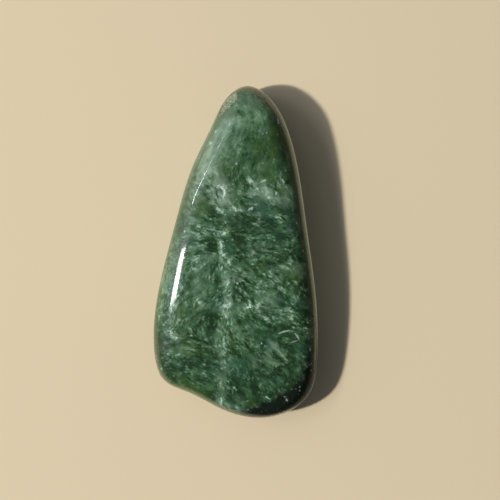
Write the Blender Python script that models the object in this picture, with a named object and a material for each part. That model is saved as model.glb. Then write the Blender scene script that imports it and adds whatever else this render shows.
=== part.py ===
# Seraphinite, a polished free-form stone: one solid, lying on the small flat spot of its underside.
# Metres, +Z up, the narrow tip towards +Y. The origin is on the resting surface, under the middle
# of the stone's box.

import math

import bmesh
import bpy
import numpy as np

MM = 0.001

# Driving dimensions, in millimetres
LENGTH = 35.0  # tip to heel
WIDTH = 17.35  # across the heel end
THICKNESS = 6.35  # resting surface to the highest point, near the tip
BELLY = 0.47  # share of the height at which the stone is widest

# Turning points of the outline from above, clockwise from the tip.
# The smooth loop through them is stretched to LENGTH and WIDTH.
OUTLINE = [
    (1.2, 17.5),
    (3.6, 16.2),
    (5.45, 13.0),
    (6.6, 8.7),
    (7.5, 2.6),
    (8.45, -4.5),
    (8.66, -11.0),
    (7.75, -15.1),
    (5.1, -17.05),
    (1.9, -17.5),
    (-1.9, -16.4),
    (-5.2, -14.7),
    (-7.5, -13.65),
    (-8.65, -10.3),
    (-8.1, -3.8),
    (-6.3, 3.3),
    (-4.5, 9.1),
    (-2.35, 13.6),
    (-0.75, 16.4),
]

# How far in from the outline the rounded edge reaches, on each side of the stone
EDGE = {"left": 1.15, "right": 2.4, "tip": 1.9, "heel": 1.2}
EDGE_POWER = 2.3  # 2 is a plain round edge, and more is squarer

# The crown is highest near the tip, and falls away to the sides and down to the heel
CROWN_PEAK = (0.4, 13.0)
SIDE_FALL = 0.42  # at half the width from the peak
HEEL_FALL = 2.15  # at the heel

# Flats ground along the edge before tumbling. Each starts at a crest point, faces a compass
# direction (degrees from +X) and leans away from the crown.
FLATS = {
    "left_upper": {"crest": (-3.0, 8.2), "facing": 153.5, "lean": 34.0},
    "left_lower": {"crest": (-5.35, -2.3), "facing": 169.5, "lean": 21.0},
    "tip": {"crest": (1.2, 14.4), "facing": 82.0, "lean": 14.0},
}
FLAT_BLEND = 0.07  # height over which tumbling has blended two faces

# Underside: level within the flat spot, then rising to the rounded edge
SPOT_MIDDLE = (0.2, -2.6)
SPOT_RADII = (3.2, 6.6)
UNDER_REACH = (8.6, 19.0)
UNDER_RISE = 0.75

# Mesh density: quads across and along the level faces, and rings in the edge
ACROSS, ALONG = 12, 38
EDGE_RINGS, INNER_RINGS = 7, 3
INNER_SHARE = 0.5  # the inner rings stop this share of the way to the middle line
SPLINE_STEPS = 24  # from one turning point of the outline to the next
NORMAL_REACH = 0.004  # share of the outline each way that its direction is read over
BOX_SIDE = 0.999  # a point of the box further out than this lies on its side

# The middle line that the rings shrink towards: a shortened, leaning length axis
SPINE_SHARE = 0.62
SPINE_LEAN = 0.07

COLOUR = (0.052, 0.125, 0.064, 1.0)
ROUGHNESS = 0.2


def smooth_loop(points):
    """Closed cubic spline with continuous curvature through the points, in short steps."""
    points = np.array(points, dtype=float)
    following = np.roll(points, -1, axis=0)
    spans = np.linalg.norm(following - points, axis=1)
    before = np.roll(spans, 1)
    count = len(points)
    system = np.zeros((count, count))
    for i in range(count):
        system[i, i - 1] += before[i]
        system[i, i] += 2.0 * (before[i] + spans[i])
        system[i, (i + 1) % count] += spans[i]
    slopes = (following - points) / spans[:, None]
    bends = np.linalg.solve(system, 6.0 * (slopes - np.roll(slopes, 1, axis=0)))
    bends_after = np.roll(bends, -1, axis=0)
    steps = []
    for i in range(count):
        for b in np.linspace(0.0, 1.0, SPLINE_STEPS, endpoint=False):
            a = 1.0 - b
            bend = (a**3 - a) * bends[i] + (b**3 - b) * bends_after[i]
            steps.append(a * points[i] + b * following[i] + spans[i] ** 2 / 6.0 * bend)
    return np.array(steps)


class Outline:
    """The outline by share of its length: 0 at the tip, going clockwise from above."""

    def __init__(self):
        loop = smooth_loop(OUTLINE)
        low, high = loop.min(axis=0), loop.max(axis=0)
        loop = (loop - (low + high) / 2.0) * np.array([WIDTH, LENGTH]) / (high - low)
        loop = np.roll(loop, -int(loop[:, 1].argmax()), axis=0)
        self.loop = np.vstack([loop, loop[:1]])
        lengths = np.linalg.norm(np.diff(self.loop, axis=0), axis=1)
        self.shares = np.concatenate([[0.0], np.cumsum(lengths)]) / lengths.sum()

    def point(self, share):
        share %= 1.0
        x = np.interp(share, self.shares, self.loop[:, 0])
        y = np.interp(share, self.shares, self.loop[:, 1])
        return np.array([x, y])

    def outward(self, share):
        along = self.point(share + NORMAL_REACH) - self.point(share - NORMAL_REACH)
        return np.array([-along[1], along[0]]) / np.linalg.norm(along)

    def edge_width(self, share):
        x, y = self.outward(share)
        side = EDGE["right"] if x > 0.0 else EDGE["left"]
        end = EDGE["tip"] if y > 0.0 else EDGE["heel"]
        sideways = x * x if y > 0.0 else x**4  # the heel's narrow edge goes on round its corners
        return end + (side - end) * sideways

    def ring_point(self, share, ring):
        """Where a ring crosses this share. Ring 0 is the outline, the last borders the patch."""
        rim = self.point(share)
        spine_y = SPINE_SHARE * rim[1]
        inward = np.array([SPINE_LEAN * spine_y, spine_y]) - rim
        distance = np.linalg.norm(inward)
        width = self.edge_width(share)
        if ring <= EDGE_RINGS:
            angle = math.pi / 2.0 * ring / EDGE_RINGS
            inset = width * (1.0 - math.cos(angle) ** (2.0 / EDGE_POWER))
        else:
            inner = (ring - EDGE_RINGS) / INNER_RINGS
            inset = width + (INNER_SHARE * distance - width) * inner
        return rim + inward * inset / distance


def crown_height(x, y):
    """Height of the crown over a point, before the flats."""
    across = (x - CROWN_PEAK[0]) / (WIDTH / 2.0)
    along = (y - CROWN_PEAK[1]) / (CROWN_PEAK[1] + LENGTH / 2.0)
    return THICKNESS - SIDE_FALL * across**2 - HEEL_FALL * along**2


def upper_height(x, y):
    """Height of the upper faces over a point: the crown and the flats, blended."""
    drops = [0.0]
    for flat in FLATS.values():
        facing = math.radians(flat["facing"])
        past = (x - flat["crest"][0]) * math.cos(facing) + (y - flat["crest"][1]) * math.sin(facing)
        drops.append(math.tan(math.radians(flat["lean"])) * past)
    deepest = max(drops)
    total = sum(math.exp((drop - deepest) / FLAT_BLEND) for drop in drops)
    return crown_height(x, y) - deepest - FLAT_BLEND * math.log(total)


def under_height(x, y):
    """Height of the underside over a point, 0 in the flat spot."""
    x, y = x - SPOT_MIDDLE[0], y - SPOT_MIDDLE[1]
    spot = math.hypot(x / SPOT_RADII[0], y / SPOT_RADII[1])
    if spot <= 1.0:
        return 0.0
    reach = math.hypot(x / UNDER_REACH[0], y / UNDER_REACH[1])
    start = reach / spot
    return UNDER_RISE * ((reach - start) / (1.0 - start)) ** 2


def box_of_quads(across, along, up):
    """A closed box from -1 to 1 on each axis, cut into quads."""
    mesh = bmesh.new()
    bmesh.ops.create_cube(mesh, size=2.0)
    for axis, count in enumerate((across, along, up)):
        normal = [0.0, 0.0, 0.0]
        normal[axis] = 1.0
        for step in range(1, count):
            place = [0.0, 0.0, 0.0]
            place[axis] = 2.0 * step / count - 1.0
            everything = mesh.verts[:] + mesh.edges[:] + mesh.faces[:]
            bmesh.ops.bisect_plane(mesh, geom=everything, plane_co=place, plane_no=normal)
    return mesh


def share_on_box(u, v):
    """How far round the box's side a point is, from the middle of its +V side, clockwise."""
    total = 2.0 * (ACROSS + ALONG)
    if v > BOX_SIDE:
        cells = u * ACROSS / 2.0
    elif u > BOX_SIDE:
        cells = ACROSS / 2.0 + (1.0 - v) * ALONG / 2.0
    elif v < -BOX_SIDE:
        cells = ACROSS / 2.0 + ALONG + (1.0 - u) * ACROSS / 2.0
    else:
        cells = ACROSS * 1.5 + ALONG + (1.0 + v) * ALONG / 2.0
    return cells / total


def patch_point(outline, u, v):
    """A point of the level patch, spread evenly between its four borders."""
    ring = EDGE_RINGS + INNER_RINGS

    def border(side_u, side_v):
        return outline.ring_point(share_on_box(side_u, side_v), ring)

    a, b = (u + 1.0) / 2.0, (v + 1.0) / 2.0
    sides = (1.0 - a) * border(-1.0, v) + a * border(1.0, v)
    ends = (1.0 - b) * border(u, -1.0) + b * border(u, 1.0)
    near = (1.0 - a) * border(-1.0, -1.0) + a * border(1.0, -1.0)
    far = (1.0 - a) * border(-1.0, 1.0) + a * border(1.0, 1.0)
    return sides + ends - (1.0 - b) * near - b * far


def stone_point(outline, u, v, w):
    """Where a point of the box goes on the stone, in millimetres."""
    if max(abs(u), abs(v)) < BOX_SIDE:
        x, y = patch_point(outline, u, v)
        lift = 1.0
    else:
        ring = abs(w) * (EDGE_RINGS + INNER_RINGS)
        x, y = outline.ring_point(share_on_box(u, v), ring)
        angle = math.pi / 2.0 * min(ring / EDGE_RINGS, 1.0)
        lift = math.sin(angle) ** (2.0 / EDGE_POWER)
    belly = BELLY * crown_height(x, y)
    face = upper_height(x, y) if w > 0.0 else under_height(x, y)
    return x, y, belly + (face - belly) * lift


def stone_material():
    material = bpy.data.materials.new("polished_seraphinite")
    material.use_nodes = True
    shader = material.node_tree.nodes["Principled BSDF"]
    shader.inputs["Base Color"].default_value = COLOUR
    shader.inputs["Roughness"].default_value = ROUGHNESS
    shader.inputs["Metallic"].default_value = 0.0
    return material


def make_stone():
    outline = Outline()
    cage = box_of_quads(ACROSS, ALONG, 2 * (EDGE_RINGS + INNER_RINGS))
    for vertex in cage.verts:
        vertex.co = [MM * value for value in stone_point(outline, *vertex.co)]
    bmesh.ops.recalc_face_normals(cage, faces=cage.faces[:])
    mesh = bpy.data.meshes.new("stone")
    cage.to_mesh(mesh)
    cage.free()
    mesh.shade_smooth()
    mesh.materials.append(stone_material())
    return bpy.data.objects.new("stone", mesh)


def main():
    for thing in list(bpy.data.objects):
        bpy.data.objects.remove(thing, do_unlink=True)
    collection = bpy.data.collections.new("seraphinite")
    bpy.context.scene.collection.children.link(collection)
    collection.objects.link(make_stone())


main()
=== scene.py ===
import math

import bmesh
import bpy
import numpy as np
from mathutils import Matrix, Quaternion, Vector, noise
from mathutils.bvhtree import BVHTree


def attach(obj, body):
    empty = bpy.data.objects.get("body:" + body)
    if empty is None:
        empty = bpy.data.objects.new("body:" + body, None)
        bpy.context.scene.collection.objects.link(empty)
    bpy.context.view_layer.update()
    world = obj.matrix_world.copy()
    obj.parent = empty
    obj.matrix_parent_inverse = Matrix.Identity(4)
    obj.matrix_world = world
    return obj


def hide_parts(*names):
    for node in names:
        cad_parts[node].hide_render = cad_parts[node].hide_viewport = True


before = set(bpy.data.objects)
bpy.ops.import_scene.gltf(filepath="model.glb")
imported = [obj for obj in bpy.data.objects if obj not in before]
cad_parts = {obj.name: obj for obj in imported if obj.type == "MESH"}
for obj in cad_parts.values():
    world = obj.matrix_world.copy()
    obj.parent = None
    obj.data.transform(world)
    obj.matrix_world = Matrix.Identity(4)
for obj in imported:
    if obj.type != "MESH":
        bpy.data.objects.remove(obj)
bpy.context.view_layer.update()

mm = 0.001
print("frame loaded, nodes:", ", ".join(sorted(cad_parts)))

# Places on the stone are in millimetres: x to its round edge, y to its tip.
# Turns are in degrees, anticlockwise from x.


def towards(azimuth, elevation):
    a, e = math.radians(azimuth), math.radians(elevation)
    return Vector((math.cos(a) * math.cos(e), math.sin(a) * math.cos(e), math.sin(e)))


def placed(name, content):
    holder = bpy.data.objects.new(name, content)
    bpy.context.scene.collection.objects.link(holder)
    return holder


def newMaterial(name):
    material = bpy.data.materials.new(name)
    material.use_nodes = True
    return material, material.node_tree


# Node helpers

def feed(tree, socket, value):
    if isinstance(value, bpy.types.NodeSocket):
        tree.links.new(value, socket)
    else:
        socket.default_value = value


def put(tree, kind, settings=None, **values):
    # a node with its settings, and its sockets linked or set by name
    node = tree.nodes.new(kind)
    for key, value in (settings or {}).items():
        setattr(node, key, value)
    for key, value in values.items():
        feed(tree, node.inputs[key.replace("_", " ")], value)
    return node


def operate(tree, kind, operation, values):
    node = put(tree, kind, {"operation": operation})
    for socket, value in zip(node.inputs, values):
        feed(tree, socket, value)
    return node


def calc(tree, operation, *values):
    return operate(tree, "ShaderNodeMath", operation, values).outputs["Value"]


def vectorCalc(tree, operation, *values):
    node = operate(tree, "ShaderNodeVectorMath", operation, values)
    return node.outputs["Value" if operation in ("DOT_PRODUCT", "LENGTH") else "Vector"]


def scaled(tree, vector, factor):
    node = operate(tree, "ShaderNodeVectorMath", "SCALE", [vector])
    feed(tree, node.inputs["Scale"], factor)
    return node.outputs["Vector"]


def ranged(tree, value, low, high, toLow=0.0, toHigh=1.0, smooth=False):
    settings = {"interpolation_type": "SMOOTHSTEP" if smooth else "LINEAR"}
    node = put(tree, "ShaderNodeMapRange", settings, Value=value, From_Min=low, From_Max=high,
               To_Min=toLow, To_Max=toHigh)
    return node.outputs["Result"]


def mixColour(tree, factor, a, b, blend="MIX"):
    settings = {"data_type": "RGBA", "blend_type": blend}
    node = put(tree, "ShaderNodeMix", settings, Factor=factor)
    feed(tree, node.inputs[6], a)  # 6 and 7 are the colour sockets A and B
    feed(tree, node.inputs[7], b)
    return node.outputs[2]


def noiseAt(tree, place, perMm, detail=2.0, roughness=0.5, warp=0.0):
    node = put(tree, "ShaderNodeTexNoise", Vector=place, Scale=perMm, Detail=detail,
               Roughness=roughness, Distortion=warp)
    return node.outputs["Fac"]


def cellsAt(tree, place, perMm):
    # a cell pattern and the random numbers of each cell
    cells = put(tree, "ShaderNodeTexVoronoi", {"feature": "F1"}, Vector=place, Scale=perMm)
    return cells, put(tree, "ShaderNodeSeparateColor", Color=cells.outputs["Color"])


def newGroup(name, inputs, output):
    # a node group that takes a place, a direction and numbers, and puts out one number
    group = bpy.data.node_groups.new(name, "ShaderNodeTree")
    for socketName in inputs:
        kind = "NodeSocketVector" if socketName in ("Place", "Way") else "NodeSocketFloat"
        group.interface.new_socket(name=socketName, in_out="INPUT", socket_type=kind)
    group.interface.new_socket(name=output, in_out="OUTPUT", socket_type="NodeSocketFloat")
    start, end = group.nodes.new("NodeGroupInput"), group.nodes.new("NodeGroupOutput")
    return group, start.outputs, end.inputs[output]


# Studio

camera = {
    "name": "photoCamera",
    "lens": 85.0,
    "sensor": 36.0,
    "view": 52.5,  # width of the picture at the stone
    "aim": (1.5225, 0.236, 3.0),
    "clipFrom": 0.01,
}


def makeCamera():
    eye = bpy.data.cameras.new(camera["name"])
    eye.lens = camera["lens"]
    eye.sensor_width = camera["sensor"]
    eye.clip_start = camera["clipFrom"]
    holder = placed(camera["name"], eye)
    distance = camera["view"] * camera["lens"] / camera["sensor"]
    holder.location = (Vector(camera["aim"]) + Vector((0.0, 0.0, distance))) * mm
    bpy.context.scene.camera = holder


floor = {
    "name": "paleFloor",
    "size": 3.0,  # metres
    "cells": 8,
    "below": 0.00001,  # metres
    "colour": (0.64, 0.55, 0.39, 1.0),
    "roughness": 0.9,
}


def makeFloor():
    cells = floor["cells"]
    bpy.ops.mesh.primitive_grid_add(x_subdivisions=cells, y_subdivisions=cells, size=floor["size"])
    ground = bpy.context.object
    ground.name = floor["name"]
    ground.location.z = -floor["below"]
    material, tree = newMaterial("paleFloorPaint")
    shader = tree.nodes["Principled BSDF"]
    shader.inputs["Base Color"].default_value = floor["colour"]
    shader.inputs["Roughness"].default_value = floor["roughness"]
    ground.data.materials.append(material)


# Cards lying on the floor that only the polish sees. The pale ones draw the thin bright lines
# along the sides, and the dark ones keep the far floor out of them. Each fades in from its
# borders, over the first length along x and the second along y, and lies so far above the floor.
cards = {
    "leftCard": {"x": (-120.0, -4.0), "y": (-14.0, 60.0), "glow": (0.5, 0.48, 0.33, 1.0),
                 "fade": (0.5, 14.0), "above": 0.02},
    "edgeCard": {"x": (3.0, 16.0), "y": (-14.0, 26.0), "glow": (0.34, 0.32, 0.21, 1.0),
                 "fade": (1.5, 9.0), "above": 0.04},
    "rightCard": {"x": (13.0, 120.0), "y": (-120.0, 60.0), "glow": (0.07, 0.075, 0.05, 1.0),
                  "fade": (4.0, 12.0), "above": 0.06},
    "heelCard": {"x": (1.0, 19.0), "y": (-120.0, -22.0), "glow": (0.02, 0.022, 0.015, 1.0),
                 "fade": (4.0, 3.0), "above": 0.08},
    "cornerCard": {"x": (6.5, 24.0), "y": (-26.0, -11.0), "glow": (0.2, 0.19, 0.13, 1.0),
                   "fade": (1.5, 3.5), "above": 0.1},
}


def makeCards():
    for name, card in cards.items():
        bpy.ops.mesh.primitive_plane_add(size=1.0)
        sheet = bpy.context.object
        sheet.name = name
        (left, right), (near, far), height = card["x"], card["y"], card["above"]
        sheet.scale = ((right - left) * mm, (far - near) * mm, 1.0)
        sheet.location = ((left + right) / 2.0 * mm, (near + far) / 2.0 * mm, height * mm)
        material, tree = newMaterial(name)
        tree.nodes.clear()
        position = tree.nodes.new("ShaderNodeNewGeometry").outputs["Position"]
        place = put(tree, "ShaderNodeSeparateXYZ", Vector=position)
        solid = 1.0
        for axis, fade in zip("xy", card["fade"]):
            low, high = card[axis]
            for border, inner in ((low, low + fade), (high, high - fade)):
                along = place.outputs[axis.upper()]
                rise = ranged(tree, along, border * mm, inner * mm, smooth=True)
                solid = calc(tree, "MULTIPLY", rise, solid)
        either = put(tree, "ShaderNodeMixShader", Fac=solid)
        clear = tree.nodes.new("ShaderNodeBsdfTransparent")
        tree.links.new(clear.outputs["BSDF"], either.inputs[1])
        glow = put(tree, "ShaderNodeEmission", Color=card["glow"])
        tree.links.new(glow.outputs["Emission"], either.inputs[2])
        put(tree, "ShaderNodeOutputMaterial", Surface=either.outputs["Shader"])
        sheet.data.materials.append(material)
        sheet.visible_camera = sheet.visible_diffuse = sheet.visible_shadow = False


# The key light casts the shadow, and the strips are what the polish mirrors. Each stands towards
# an azimuth and elevation, and a twist turns it about the line to the stone. Lengths
# are in metres.
lights = {
    "key": {"toward": (189.0, 46.0), "away": 1.0, "size": (0.05, 0.05), "twist": 0.0,
            "watts": 10.1, "colour": (1.0, 0.95, 0.88), "mirrored": False},
    "sideStrip": {"toward": (184.1, 46.0), "away": 1.0, "size": (0.096, 0.17), "twist": -11.0,
                  "watts": 1.34, "colour": (1.0, 1.0, 1.0), "mirrored": True},
    "sideGlow": {"toward": (184.5, 47.0), "away": 1.1, "size": (0.17, 0.3), "twist": -11.0,
                 "watts": 0.1, "colour": (0.86, 0.93, 1.0), "mirrored": True},
    "tipStrip": {"toward": (164.0, 46.0), "away": 1.0, "size": (0.2, 0.03), "twist": 0.0,
                 "watts": 0.7, "colour": (1.0, 1.0, 1.0), "mirrored": True},
    "crestStrip": {"toward": (153.5, 46.0), "away": 1.0, "size": (0.085, 0.05), "twist": 0.0,
                   "watts": 0.12, "colour": (0.9, 1.0, 0.95), "mirrored": True},
}


def makeLights():
    for name, light in lights.items():
        lamp = bpy.data.lights.new(name, "AREA")
        lamp.shape = "RECTANGLE"
        lamp.size, lamp.size_y = light["size"]
        lamp.energy = light["watts"]
        lamp.color = light["colour"]
        holder = placed(name, lamp)
        away = towards(*light["toward"])
        holder.location = away * light["away"]
        twist = Quaternion((0.0, 0.0, 1.0), math.radians(light["twist"]))
        holder.rotation_euler = (away.to_track_quat("Z", "Y") @ twist).to_euler()
        holder.visible_camera = False
        holder.visible_glossy = light["mirrored"]


# A broad soft light is brightest towards one side. The two cosines say how far from there it
# starts and is full. On the side away from it, the polish mirrors a darker studio.
studio = {
    "colour": (0.86, 0.92, 1.0, 1.0),
    "ambient": 0.13,
    "glow": 0.6,
    "glowToward": (150.0, 26.0),
    "glowWidth": (0.70, 0.985),
    "darkWidth": (-0.75, 0.0),
    "mirrored": (0.012, 0.085),
    "backdrop": (0.62, 0.58, 0.50, 1.0),
}


def makeStudio():
    world = bpy.data.worlds.new("studioWorld")
    bpy.context.scene.world = world
    world.use_nodes = True
    tree = world.node_tree
    around = tree.nodes.new("ShaderNodeTexCoord").outputs["Generated"]
    nearness = vectorCalc(tree, "DOT_PRODUCT", around, towards(*studio["glowToward"]))
    seenBy = tree.nodes.new("ShaderNodeLightPath")
    mirrored = ranged(tree, nearness, *studio["darkWidth"], *studio["mirrored"], smooth=True)
    ambient = put(tree, "ShaderNodeMix", {"data_type": "FLOAT"}, A=studio["ambient"], B=mirrored,
                  Factor=seenBy.outputs["Is Glossy Ray"])
    glowing = ranged(tree, nearness, *studio["glowWidth"], smooth=True)
    shine = calc(tree, "MULTIPLY_ADD", glowing, studio["glow"], ambient.outputs["Result"])
    glow = tree.nodes["Background"]
    glow.inputs["Color"].default_value = studio["colour"]
    tree.links.new(shine, glow.inputs["Strength"])
    backdrop = put(tree, "ShaderNodeBackground", Color=studio["backdrop"])
    either = put(tree, "ShaderNodeMixShader", Fac=seenBy.outputs["Is Camera Ray"])
    tree.links.new(glow.outputs["Background"], either.inputs[1])
    tree.links.new(backdrop.outputs["Background"], either.inputs[2])
    tree.links.new(either.outputs["Shader"], tree.nodes["World Output"].inputs["Surface"])
    bpy.context.scene.view_settings.view_transform = "Standard"


# The stone: the imported stone made smooth, then knocked about, with its pattern laid on from
# lists

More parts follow.
